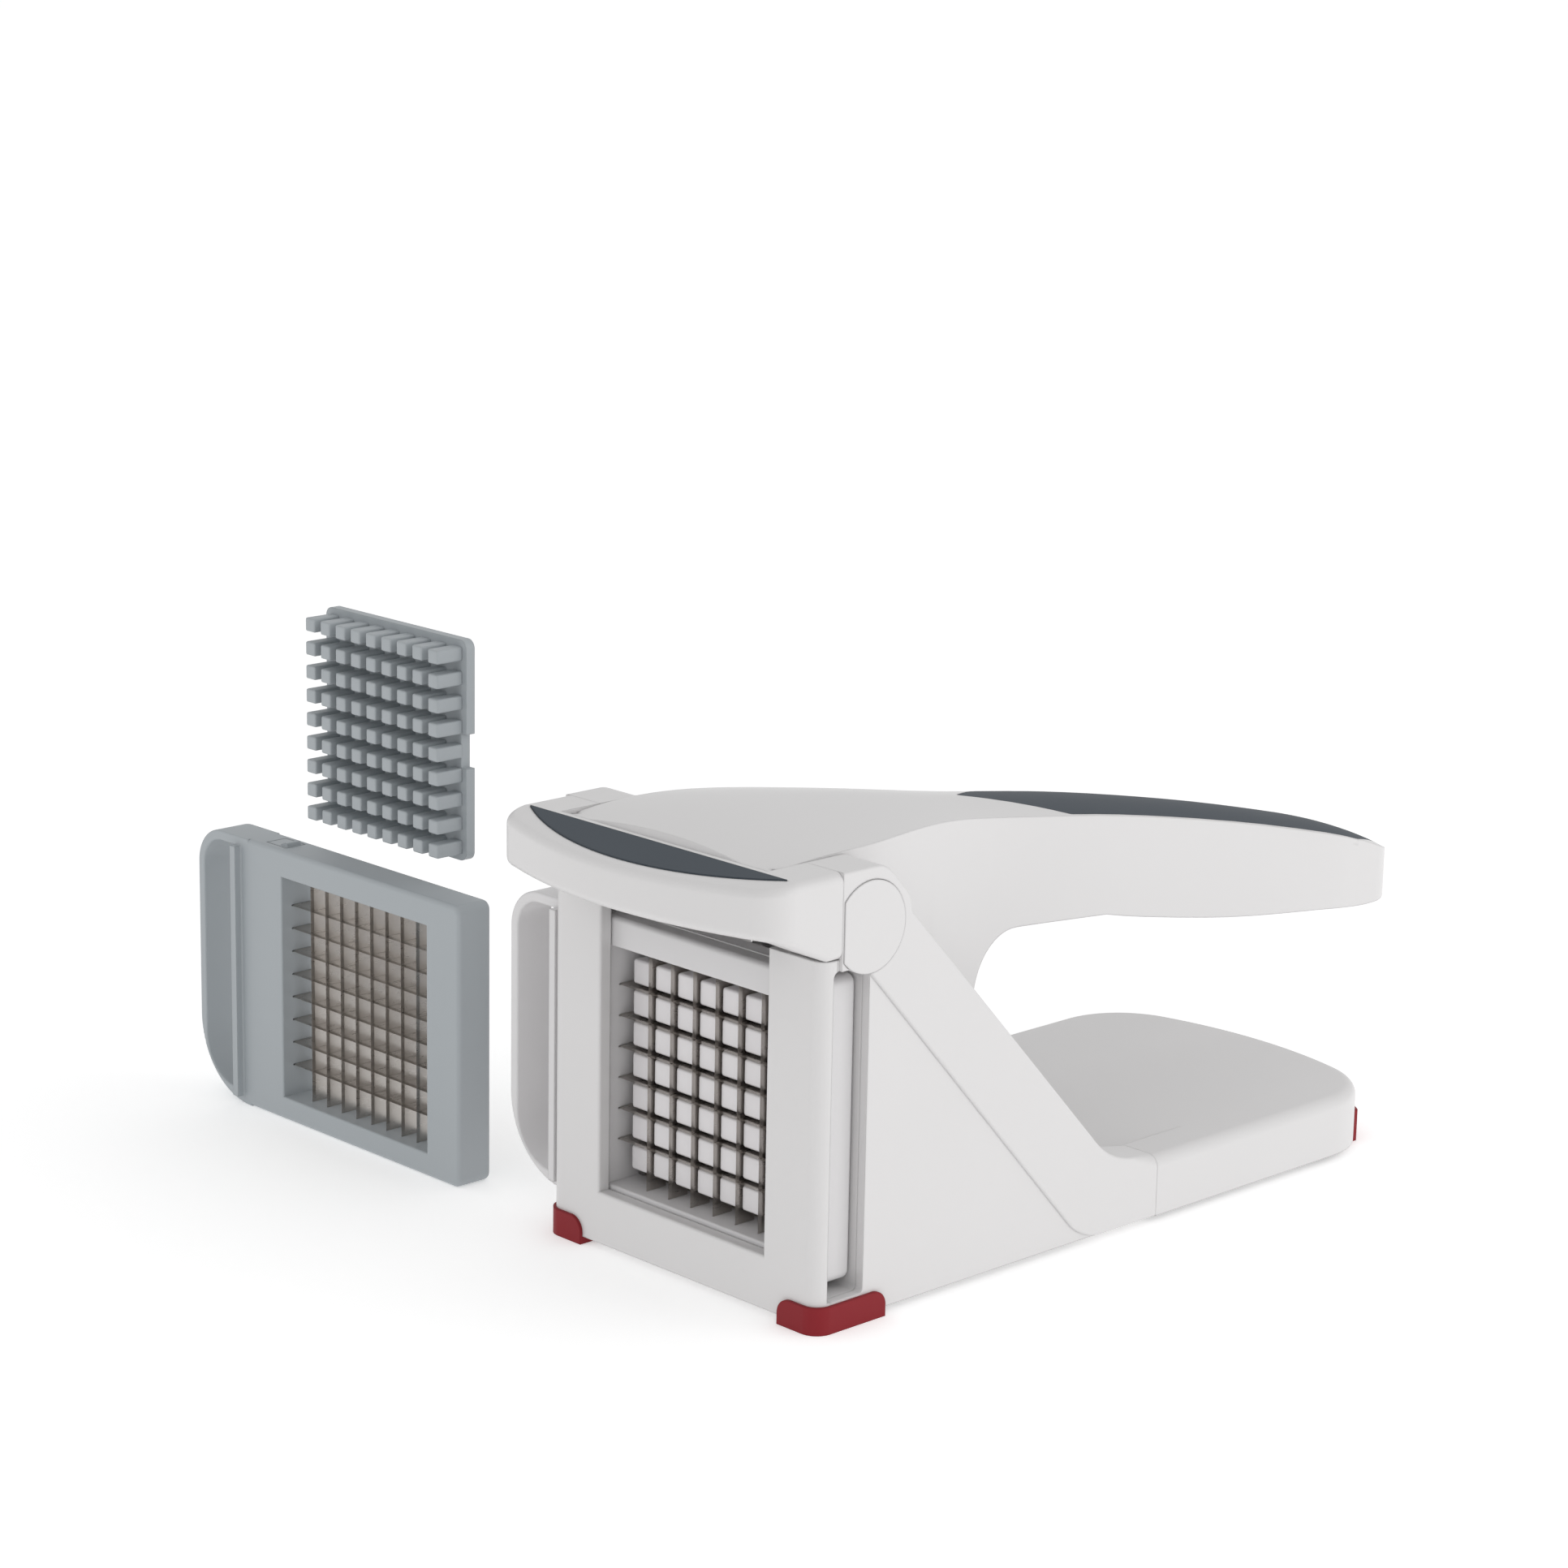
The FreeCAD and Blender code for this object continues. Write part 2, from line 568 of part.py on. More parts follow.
GRIP_START = 116.0
GRIP_SHOULDER = 150.0
GRIP_TAIL = 300.0
GRIP_TIP = (9.0, 324.0)
GRIP_RIM = 1.0            # width of the white rim beside the grip


def grip_region(gap):
    """Plan of the grip inlay: pointed in front, then almost as wide as the handle."""
    inset = GRIP_RIM + gap
    shoulder = plan_half(GRIP_SHOULDER) - inset
    tail = plan_half(GRIP_TAIL) - inset
    tip_x, tip_y = GRIP_TIP
    right = [(shoulder, GRIP_SHOULDER, 4.0), (tail, GRIP_TAIL, 8.0), (tip_x, tip_y - gap, 6.0)]
    left = [(-x, y, r) for x, y, r in reversed(right)]
    return upright([(0.0, GRIP_START + 2 * gap, 1.0)] + right + left, 0.0, 200.0)


GRIP_DEEP = 2.2
BOSS_R = 7.8


def post_relief():
    """Notch in the paddle's side wall that lets it swing down past a front post."""
    inner = NOSE_R - LEVER_WALL
    corners = [(-BOSS_R - 0.4, -3.0), (-BOSS_R - 0.4, -0.6), (-19.4, 17.1), (-22.6, 17.1)]
    corners += [(-inner * math.cos(math.radians(a)), inner * math.sin(math.radians(a)))
                for a in (34.0, 29.0, 24.0, 19.0, 14.0, 9.0, 4.0, -3.0)]
    return across([(PIVOT_Y + y, PIVOT_Z + z) for y, z in corners], 37.0, 46.0)


def lever_parts():
    """Lever shell, lower cover and grip inlay."""
    whole = lever_block(0.0, 0.0)
    core = lever_block(LEVER_WALL, LEVER_WALL)
    paddle_room = core.common(box(-60, 60, -60, 116.0, 0, 200))
    room = core.common(box(-60, 60, 122.0, 400, 0, 200))
    inlay = core_layer(whole)
    between_walls = lever_plan(LEVER_WALL).extrude(V(0, 0, 200))
    shell = whole.cut(cover_cutter(0.0).common(between_walls)).cut(paddle_room).cut(room)
    shell = shell.cut(grip_region(0.0).common(whole).cut(sunk_block()))
    boss = rod(BOSS_R, ARM_INNER - 9.0, 43.6, PIVOT_Y, PIVOT_Z)
    link_wall = box(ARM_INNER - 5.0, 43.6, PIVOT_Y - BOSS_R, PIVOT_Y + BOSS_R, PIVOT_Z, PADDLE_SKIRT + 6.0)
    ear = join(boss, link_wall)
    shell = shell.cut(post_relief()).cut(mirrored(post_relief()))
    shell = join(shell, ear, mirrored(ear))
    bore = rod(PIVOT_R + PIVOT_PLAY, -60, 60, PIVOT_Y, PIVOT_Z)
    within = lever_plan(LEVER_WALL + COVER_PLAY).extrude(V(0, 0, 200))
    cover = whole.common(cover_cutter(COVER_PLAY)).common(within).cut(room)
    shell = join(shell.cut(bore), lever_web(whole.cut(paddle_room)))
    return shell, cover, inlay


def sunk_block():
    """The handle's shape lowered by the inlay's depth."""
    sunk = lever_block(0.0, 0.0)
    sunk.translate(V(0, 0, -GRIP_DEEP))
    return sunk


def core_layer(whole):
    """Grip inlay: the top layer of the handle inside the inlay's plan."""
    return grip_region(0.12).common(whole).cut(sunk_block())


WEB_HALF = 30.0
CHEEK = 5.0
LINK_TIP = 7.6
WEB_SKIN = 6.0
SKIRT_WALL = 3.0
SKIRT_LAP = 5.0           # how far the skirts reach down behind the legs


def web_rear(top):
    """Rear edge of the web: one concave sweep from the handle down to the link pin."""
    return [(92.0, 55.0, 10.0), (101.5, 70.0, 24.0), (107.5, 93.0, 20.0), (168.0, 87.5), (150.0, 104.0),
            (122.0, top)]


def web_profile(top):
    """Side view of the web that hangs from the lever and drives the carriage."""
    tip = LINK_TIP
    return [(LINK_Y - tip, LINK_Z - tip, tip), (LINK_Y + tip + 6.0, LINK_Z - tip, 8.0)] + web_rear(top) + \
        [(62.0, top), (58.0, 90.0, 24.0)]


def skirts():
    """Side walls that carry the paddle's outline down behind the legs."""
    y_top = slope_y(LEG_TOP_A, LEG_TOP_B, PADDLE_SKIRT + SKIRT_LAP)
    wall = across([(y_top, PADDLE_SKIRT)] + web_rear(PADDLE_SKIRT), -60.0, 60.0)
    outer = lever_plan(0.0).extrude(V(0, 0, 200))
    inner = lever_plan(SKIRT_WALL).extrude(V(0, 0, 200))
    return wall.common(outer).cut(inner)


def lever_web(lever_solid):
    """Hollow web under the lever: skirts, two cheeks with a curved rear skin, and the pin's bore."""
    plan = lever_plan(0.0).extrude(V(0, 0, 200))
    block = across(web_profile(PADDLE_SKIRT), -WEB_HALF, WEB_HALF).common(plan)
    inside = across(web_profile(PADDLE_SKIRT + 20.0), CHEEK - WEB_HALF, WEB_HALF - CHEEK)
    inside.translate(V(0, -WEB_SKIN, WEB_SKIN / 6.0))
    inside = inside.common(lever_plan(CHEEK).extrude(V(0, 0, 200)))
    below_pin = box(CHEEK - WEB_HALF, WEB_HALF - CHEEK, 0.0, 66.0, 0.0, 200.0)
    web = block.cut(inside).cut(below_pin)
    lug = box(WEB_HALF - CHEEK, WEB_HALF - 1, 61.0, 69.0, PADDLE_SKIRT - 1, PADDLE_SKIRT + 5)
    web = join(web, skirts(), lug, mirrored(lug)).cut(lever_solid)
    return web.cut(rod(LINK_R, -60, 60, LINK_Y, LINK_Z))


def link_pin():
    return rod(LINK_R, -38.6, 38.6, LINK_Y, LINK_Z)


# ------------------------------------------------------------------ pusher carriage
def yoke_path():
    """Centres of the link pin seen from the carriage as the lever swings."""
    reach = math.hypot(LINK_Y - PIVOT_Y, LINK_Z - PIVOT_Z)
    start = math.atan2(LINK_Y - PIVOT_Y, PIVOT_Z - LINK_Z)
    swing = math.radians(LEVER_OPEN_DEG)
    pts = []
    steps = 12
    for i in range(steps + 1):
        a = swing * i / steps
        y = PIVOT_Y + reach * math.sin(start + a) - CARRIAGE_TRAVEL * i / steps
        pts.append((y, PIVOT_Z - reach * math.cos(start + a)))
    return pts


def yoke_slot(x0, x1):
    """Curved slot that keeps the carriage's travel in step with the lever's angle."""
    r = LINK_R + LINK_PLAY
    pts = yoke_path()
    right = []
    left = []
    for i, (y, z) in enumerate(pts):
        ay, az = pts[max(i - 1, 0)]
        by, bz = pts[min(i + 1, len(pts) - 1)]
        ty, tz = by - ay, bz - az
        t = math.hypot(ty, tz)
        ny, nz = -tz / t, ty / t
        left.append(V(x0, y + ny * r, z + nz * r))
        right.append(V(x0, y - ny * r, z - nz * r))
    a = Part.BSplineCurve()
    a.interpolate(left)
    b = Part.BSplineCurve()
    b.interpolate(right)
    edges = [a.toShape(), Part.LineSegment(left[-1], right[-1]).toShape(), b.toShape(),
             Part.LineSegment(right[0], left[0]).toShape()]
    slot = Part.Face(Part.Wire(Part.sortEdges(edges)[0])).extrude(V(x1 - x0, 0, 0))
    ends = [rod(r, x0, x1, *pts[0]), rod(r, x0, x1, *pts[-1])]
    return slot.fuse(ends)


CARR_FRONT = PLATE_FRONT + PLATE
CARR_HALF = 36.5
CARR_BACK = 62.0
CARR_LOW = 17.6
CARR_TOP = 100.0
YOKE = 3.5


def carriage():
    """Slide that carries the pusher: front plate, floor, and two slotted yoke plates."""
    plate = box(-CARR_HALF, CARR_HALF, CARR_FRONT, CARR_FRONT + 3.6, CARR_LOW, 93.0)
    floor = box(-CARR_HALF, CARR_HALF, CARR_FRONT, CARR_BACK, CARR_LOW, CARR_LOW + 3.0)
    yoke = across([(CARR_FRONT, CARR_LOW), (CARR_FRONT, CARR_TOP - 14, 6.0), (LINK_Y - 8.0, CARR_TOP, 4.0),
                   (LINK_Y + 8.0, CARR_TOP, 4.0), (CARR_BACK - 12, 84.0, 10.0), (CARR_BACK, 40.0, 20.0),
                   (CARR_BACK, CARR_LOW)], CARR_HALF - YOKE, CARR_HALF)
    yoke = yoke.cut(yoke_slot(CARR_HALF - YOKE - 1, CARR_HALF + 1))
    runner = box(CARR_HALF - 1, TRAY_INNER + GROOVE_DEPTH - 0.35, CARR_FRONT, CARR_BACK,
                 GROOVE[0] + 0.35, GROOVE[1] - 0.35)
    return join(plate, floor, yoke, mirrored(yoke), runner, mirrored(runner))


# ------------------------------------------------------------------ pushers
def cell_centres(cells, pitch):
    return [pitch * (i - (cells - 1) / 2.0) for i in range(cells)]


NOTCH_HALF = 5.7          # notch in the plate's right edge, half its height
NOTCH_DEEP = 2.5


def pusher_plate():
    """Back plate of a pusher, notched in its right edge, centred on the blade grid."""
    h = PLATE_HALF
    plate = through([(-h, GRID_Z - h, 3.0), (h, GRID_Z - h, 3.0), (h, GRID_Z + h, 3.0),
                     (-h, GRID_Z + h, 3.0)], PLATE_FRONT, PLATE_FRONT + PLATE)
    notch = box(h - NOTCH_DEEP, h + 1, PLATE_FRONT - 1, PLATE_FRONT + PLATE + 1,
                GRID_Z - NOTCH_HALF, GRID_Z + NOTCH_HALF)
    return plate.cut(notch)


def pusher_studs(cells, pitch, wide, tall, round_edge):
    """One stud on the plate for each cell of the matching blade grid."""
    stud = Part.makeBox(wide, PLATE_FRONT - STUD_TIP, tall, V(-wide / 2.0, STUD_TIP, -tall / 2.0))
    stud = stud.makeFillet(round_edge, [e for e in stud.Edges if e.BoundBox.YMin < PLATE_FRONT - 0.01])
    studs = []
    for x in cell_centres(cells, pitch):
        for z in cell_centres(cells, pitch):
            s = stud.copy()
            s.translate(V(x, 0, GRID_Z + z))
            studs.append(s)
    return Part.makeCompound(studs)


# ------------------------------------------------------------------ cartridges
def blade_set(cells, pitch, upright_set):
    """One direction of a blade grid, half-lapped with the other direction."""
    lines = [pitch * (i - (cells - 2) / 2.0) for i in range(cells - 1)]
    reach = CART_HALF_IN + BLADE_HOLD
    mid = (BLADE_FRONT + BLADE_BACK) / 2.0
    t = BLADE / 2.0
    notch = t + LAP_PLAY
    blades = []
    for c in lines:
        if upright_set:
            b = box(c - t, c + t, BLADE_FRONT, BLADE_BACK, GRID_Z - reach, GRID_Z + reach)
            cuts = [box(c - 1, c + 1, mid, BLADE_BACK + 1, GRID_Z + d - notch, GRID_Z + d + notch)
                    for d in lines]
        else:
            b = box(-reach, reach, BLADE_FRONT + 0.1, BLADE_BACK, GRID_Z + c - t, GRID_Z + c + t)
            cuts = [box(d - notch, d + notch, BLADE_FRONT - 1, mid + 0.05, GRID_Z + c - 1, GRID_Z + c + 1)
                    for d in lines]
        blades.append(b.cut(Part.makeCompound(cuts)))
    return Part.makeCompound(blades)


LATCH_X = (-50.0, -39.0)
LATCH_Y = (7.6, 15.8)
LATCH_T = 2.0
LATCH_SLIT = 0.4
CART_EASE = 0.6


def cartridge_frame(blades):
    """Moulded frame round a blade grid, with a pull loop at its left end."""
    frame = through([(CART_LEFT, CART_BOTTOM), (CART_RIGHT, CART_BOTTOM, 3.0),
                     (CART_RIGHT, CART_TOP, 3.0), (CART_LEFT, CART_TOP)], CART_FRONT, CART_BACK)
    frame = frame.makeFillet(1.6, [e for e in frame.Edges if e.BoundBox.XMin > CART_RIGHT - 3.5
                                   and e.BoundBox.YLength < 0.01 and e.BoundBox.ZLength > 50])
    left = CART_LEFT - LOOP_REACH
    root = CART_LEFT + 4.0
    frame = frame.cut(box(CART_LEFT - 1, root, CART_FRONT - 1, CART_BACK + 1, CART_BOTTOM - 1, CART_BOTTOM + 6))
    loop = through([(root, CART_BOTTOM), (left, CART_BOTTOM, 27.0), (left, CART_TOP, 13.0),
                    (root, CART_TOP)], CART_FRONT, CART_BACK)
    s = LOOP_STRAP
    hole = through([(CART_LEFT - FLANGE, CART_BOTTOM + s + 1.5, 1.5), (left + s, CART_BOTTOM + s + 1.5, 16.0),
                    (left + s, CART_TOP - s, 13.0 - s), (CART_LEFT - FLANGE, CART_TOP - s, 1.5)],
                   CART_FRONT - 1, CART_BACK + 1)
    flange = box(CART_LEFT - FLANGE, CART_LEFT, CART_FRONT - FLANGE_PROUD, CART_BACK,
                 CART_BOTTOM + 3, CART_TOP - 3)
    h = CART_HALF_IN
    window = box(-h, h, CART_FRONT - 1, CART_BACK + 1, GRID_Z - h, GRID_Z + h)
    body = join(frame, loop.cut(hole), flange).cut(window)
    pocket = box(LATCH_X[0], LATCH_X[1], LATCH_Y[0], LATCH_Y[1], CART_TOP - LATCH_T - 2.4, CART_TOP + 1)
    body = body.cut(pocket).cut(Part.makeCompound(blades))
    for y in (CART_FRONT, CART_BACK):
        body = eased(body, CART_EASE, (-200, 200, y - SKIM, y + SKIM, 0, 200))
    return body


def cartridge_latch():
    """Sprung tongue in the top of a cartridge, with its catch."""
    s = LATCH_SLIT
    tongue = box(LATCH_X[0] + s, LATCH_X[1] - s, LATCH_Y[0] + s, LATCH_Y[1] - s,
                 CART_TOP - LATCH_T, CART_TOP)
    catch = through([(LATCH_X[1] - 5.0, CART_TOP), (LATCH_X[1] - 2.6, CART_TOP + 1.2, 0.6),
                     (LATCH_X[1] - 1.2, CART_TOP + 1.2, 0.4), (LATCH_X[1] - 0.9, CART_TOP)],
                    LATCH_Y[0] + 1.4, LATCH_Y[1] - 1.4)
    return join(tongue, catch)


# ------------------------------------------------------------------ screws
SCREW_SPOTS = [(46.0, 40.0), (46.0, 92.0), (40.0, 150.0), (40.0, BASE_END - 49.0), (0.0, BASE_END - 19.0)]


def bottom_screws():
    """Pan-head screws that hold the bottom plate."""
    heads = []
    for x, y in SCREW_SPOTS:
        for side in ((-1, 1) if x > 0 else (1,)):
            head = Part.makeCylinder(3.2, 1.4, V(side * x, y, -2.0))
            cross = box(side * x - 1.8, side * x + 1.8, y - 0.4, y + 0.4, -2.1, -1.4).fuse(
                box(side * x - 0.4, side * x + 0.4, y - 1.8, y + 1.8, -2.1, -1.4))
            heads.append(head.cut(cross))
    return Part.makeCompound(heads)


# ------------------------------------------------------------------ assembly
def build():
    nodes = {}
    right = side_frame()
    left = mirrored(right)
    nodes["front_frame"] = front_frame()
    nodes["side_frame_right"] = right
    nodes["side_frame_left"] = left
    nodes["rear_base"] = rear_base([right, left])
    nodes["chamber_tray"] = chamber_tray()
    nodes["bottom_plate"] = bottom_plate()
    nodes["bottom_screws"] = bottom_screws()
    nodes["front_bar"] = front_bar()
    nodes["bar_inlay"] = bar_inlay()
    nodes["pivot_cap_right"] = pivot_cap()
    nodes["pivot_cap_left"] = mirrored(pivot_cap())
    nodes["pivot_pins"] = Part.makeCompound([pivot_pin(), mirrored(pivot_pin())])
    nodes["foot_front_right"] = front_foot()
    nodes["foot_front_left"] = mirrored(front_foot())
    nodes["foot_rear_right"] = rear_foot()
    nodes["foot_rear_left"] = mirrored(rear_foot())

    shell, cover, grip = lever_parts()
    nodes["lever_shell"] = shell
    nodes["lever_cover"] = cover
    nodes["grip_inlay"] = grip
    nodes["link_pin"] = link_pin()

    nodes["carriage"] = carriage()
    nodes["pusher_plate"] = pusher_plate()
    nodes["pusher_studs"] = pusher_studs(WHITE_CELLS, WHITE_PITCH, WHITE_STUD, WHITE_STUD_TALL,
                                         WHITE_STUD_EASE)

    white = [blade_set(WHITE_CELLS, WHITE_PITCH, True), blade_set(WHITE_CELLS, WHITE_PITCH, False)]
    nodes["blades_upright"], nodes["blades_level"] = white
    nodes["cartridge_frame"] = cartridge_frame(white)
    nodes["cartridge_latch"] = cartridge_latch()

    spare = [blade_set(SPARE_CELLS, SPARE_PITCH, True), blade_set(SPARE_CELLS, SPARE_PITCH, False)]
    spare_nodes = {"spare_blades_upright": spare[0], "spare_blades_level": spare[1],
                   "spare_frame": cartridge_frame(spare), "spare_latch": cartridge_latch()}
    down = -FOOT_DROP - CART_BOTTOM
    for name, shape in spare_nodes.items():
        shape.translate(V(SPARE_X, SPARE_Y, down))
        nodes[name] = shape
    spare_pusher = {"spare_pusher_plate": pusher_plate(),
                    "spare_pusher_studs": pusher_studs(SPARE_CELLS, SPARE_PITCH, SPARE_STUD, SPARE_STUD_TALL,
                                                       SPARE_STUD_EASE)}
    for name, shape in spare_pusher.items():
        shape.translate(V(SPARE_X, SPARE_PUSHER_Y, SPARE_PUSHER_Z - GRID_Z))
        nodes[name] = shape
    return nodes


def export(nodes):
    """Put the origin at the bottom centre of the whole set and write one file per node."""
    os.makedirs("parts", exist_ok=True)
    whole = Part.makeCompound(list(nodes.values())).optimalBoundingBox(False, False)
    shift = V(-(whole.XMin + whole.XMax) / 2.0, -(whole.YMin + whole.YMax) / 2.0, -whole.ZMin)
    for name, shape in nodes.items():
        shape.translate(shift)
        shape.exportStep("parts/" + name + ".step")
        print(name, len(shape.Solids), "solids", shape.isValid(), round(shape.Volume / 1000.0, 2), "cm3")
    print("shift", shift)


export(build())
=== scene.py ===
"""Lever-operated vegetable dicer with a spare cartridge and a spare pusher.

Sizes are in millimetres: X from the dicer's mid-plane, Y from its front face and Z from
the underside of its body; place() turns them into the shared frame.
"""

import math
import bmesh
import bpy
from mathutils import Matrix, Vector


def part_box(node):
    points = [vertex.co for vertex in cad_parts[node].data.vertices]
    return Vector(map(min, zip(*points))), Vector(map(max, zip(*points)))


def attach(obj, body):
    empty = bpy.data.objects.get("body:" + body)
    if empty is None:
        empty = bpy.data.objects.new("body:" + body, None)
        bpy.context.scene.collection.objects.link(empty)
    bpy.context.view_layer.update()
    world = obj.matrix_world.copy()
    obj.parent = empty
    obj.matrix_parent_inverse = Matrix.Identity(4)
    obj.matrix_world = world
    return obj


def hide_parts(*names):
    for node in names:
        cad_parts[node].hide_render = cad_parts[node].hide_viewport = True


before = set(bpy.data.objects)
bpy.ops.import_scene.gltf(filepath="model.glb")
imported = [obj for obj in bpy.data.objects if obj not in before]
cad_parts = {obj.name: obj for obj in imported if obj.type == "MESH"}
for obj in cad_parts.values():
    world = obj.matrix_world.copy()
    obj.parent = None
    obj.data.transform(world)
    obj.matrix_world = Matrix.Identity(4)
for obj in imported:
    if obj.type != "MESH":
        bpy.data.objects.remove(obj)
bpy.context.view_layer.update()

# ---------------------------------------------------------------- housing: front frame
# The front wall with its square opening, moulded in warm white plastic with softened
# edges. Every moulded piece here is the CAD solid, welded and shaded smooth; its material
# eases the sharp corners.
front_low, front_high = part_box("front_frame")
CORNER = Vector(((front_low.x + front_high.x) / 2.0, front_low.y, front_low.z))
MM = 0.001


def place(x, y, z):
    """A point given in millimetres from the dicer's own corner, in the shared frame."""
    return CORNER + Vector((x, y, z)) * MM


def moulded(name, colour, rough, grain=0.15, mottle=0.02, clear=0.0, ease=0.8, shine=0.5):
    """Injection-moulded plastic: faint mottling, uneven sheen, fine grain, softened corners."""
    mat = bpy.data.materials.new(name)
    mat.use_nodes = True
    nodes = mat.node_tree.nodes
    links = mat.node_tree.links
    shader = nodes["Principled BSDF"]
    coords = nodes.new("ShaderNodeTexCoord")
    broad = nodes.new("ShaderNodeTexNoise")
    broad.inputs["Scale"].default_value = 14.0
    broad.inputs["Detail"].default_value = 3.0
    fine = nodes.new("ShaderNodeTexNoise")
    fine.inputs["Scale"].default_value = 2600.0
    fine.inputs["Detail"].default_value = 2.0
    tint = nodes.new("ShaderNodeMix")
    tint.data_type = "RGBA"
    tint.inputs["A"].default_value = (*[c * (1.0 - mottle) for c in colour], 1.0)
    tint.inputs["B"].default_value = (*[min(1.0, c * (1.0 + mottle)) for c in colour], 1.0)
    sheen = nodes.new("ShaderNodeMapRange")
    sheen.inputs["To Min"].default_value = rough - 0.05
    sheen.inputs["To Max"].default_value = rough + 0.06
    bump = nodes.new("ShaderNodeBump")
    bump.inputs["Strength"].default_value = grain
    bump.inputs["Distance"].default_value = 0.00004
    corners = nodes.new("ShaderNodeBevel")
    corners.samples = 4
    corners.inputs["Radius"].default_value = ease * MM
    links.new(corners.outputs["Normal"], bump.inputs["Normal"])
    links.new(coords.outputs["Object"], broad.inputs["Vector"])
    links.new(coords.outputs["Object"], fine.inputs["Vector"])
    links.new(broad.outputs["Fac"], tint.inputs["Factor"])
    links.new(broad.outputs["Fac"], sheen.inputs["Value"])
    links.new(fine.outputs["Fac"], bump.inputs["Height"])
    links.new(tint.outputs["Result"], shader.inputs["Base Color"])
    links.new(sheen.outputs["Result"], shader.inputs["Roughness"])
    links.new(bump.outputs["Normal"], shader.inputs["Normal"])
    shader.inputs["IOR"].default_value = 1.46
    shader.inputs["Specular IOR Level"].default_value = shine
    shader.inputs["Coat Weight"].default_value = clear
    shader.inputs["Coat Roughness"].default_value = 0.12
    return mat


def smooth_by_angle(mesh, angle):
    """Each corner takes the mean normal, by area, of its faces that lie within angle of its own."""
    limit = math.cos(math.radians(angle))
    around = [[] for _ in mesh.vertices]
    for face in mesh.polygons:
        for v in face.vertices:
            around[v].append(face)
    normals = []
    for face in mesh.polygons:
        for v in face.vertices:
            total = Vector()
            for other in around[v]:
                if other.normal.dot(face.normal) > limit:
                    total += other.normal * other.area
            normals.append(total.normalized() if total.length > 0.0 else face.normal.copy())
    mesh.shade_smooth()
    mesh.normals_split_custom_set(normals)


def finished(obj, body, slot, *nodes):
    """Evaluate the modifiers into one plain mesh, hang it under its body and hide its CAD nodes."""
    graph = bpy.context.evaluated_depsgraph_get()
    mesh = bpy.data.meshes.new_from_object(obj.evaluated_get(graph))
    mesh.name = obj.name
    obj.modifiers.clear()
    obj.data = mesh
    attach(obj, body)
    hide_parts(*nodes)


WELD = 2e-6
CREASE = 28.0


def cleaned(name, node, body, mat):
    """The CAD solid of one piece, welded and shaded smooth across its curves."""
    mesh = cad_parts[node].data.copy()
    work = bmesh.new()
    work.from_mesh(mesh)
    bmesh.ops.remove_doubles(work, verts=work.verts, dist=WELD)
    bmesh.ops.dissolve_degenerate(work, edges=work.edges, dist=WELD)
    work.to_mesh(mesh)
    work.free()
    mesh.materials.clear()
    mesh.materials.append(mat)
    obj = bpy.data.objects.new(name, mesh)
    bpy.context.scene.collection.objects.link(obj)
    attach(obj, body)
    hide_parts(node)
    smooth_by_angle(mesh, CREASE)


white = moulded("white_plastic", (0.69, 0.68, 0.68), 0.34, clear=0.15)
cleaned("front_wall", "front_frame", "body", white)

# ---------------------------------------------------------------- housing: side frames
# Right and left sides: a flat panel with the diagonal leg standing proud of it, running
# from the pivot cheek down into the rear pad.
cleaned("right_side", "side_frame_right", "body", white)
cleaned("left_side", "side_frame_left", "body", white)

# ---------------------------------------------------------------- housing: rear pad
# Wide hollow pad that steadies the dicer while the lever is pressed, closed from below by
# a thin plate with pan-head screws.
cleaned("rear_pad", "rear_base", "body", white)
cleaned("underside_plate", "bottom_plate", "body", white)

# ---------------------------------------------------------------- housing: food chamber
# Floor and inner walls the food lies between, in matt plastic; their darker beige-grey colour is
# painted shade and warm bounce light inside the chamber.
chamber_shade_paint = moulded("chamber_plastic", (0.42, 0.38, 0.34), 0.5)
cleaned("food_chamber", "chamber_tray", "body", chamber_shade_paint)

# ---------------------------------------------------------------- front bar and its inlay
# Bowed carrying bar with arms back to the pivots; a slate strip of soft-touch rubber is
# let into its top.
cleaned("carrying_bar", "front_bar", "body", white)
slate = moulded("slate_soft_touch", (0.058, 0.071, 0.086), 0.6, grain=0.5, shine=0.3)
cleaned("bar_soft_strip", "bar_inlay", "body", slate)

# ---------------------------------------------------------------- pivot caps and pins
# D-shaped caps close the pivot bores flush with the cheeks; stub pins carry the lever.
cleaned("right_pivot_cap", "pivot_cap_right", "body", white)
cleaned("left_pivot_cap", "pivot_cap_left", "body", white)


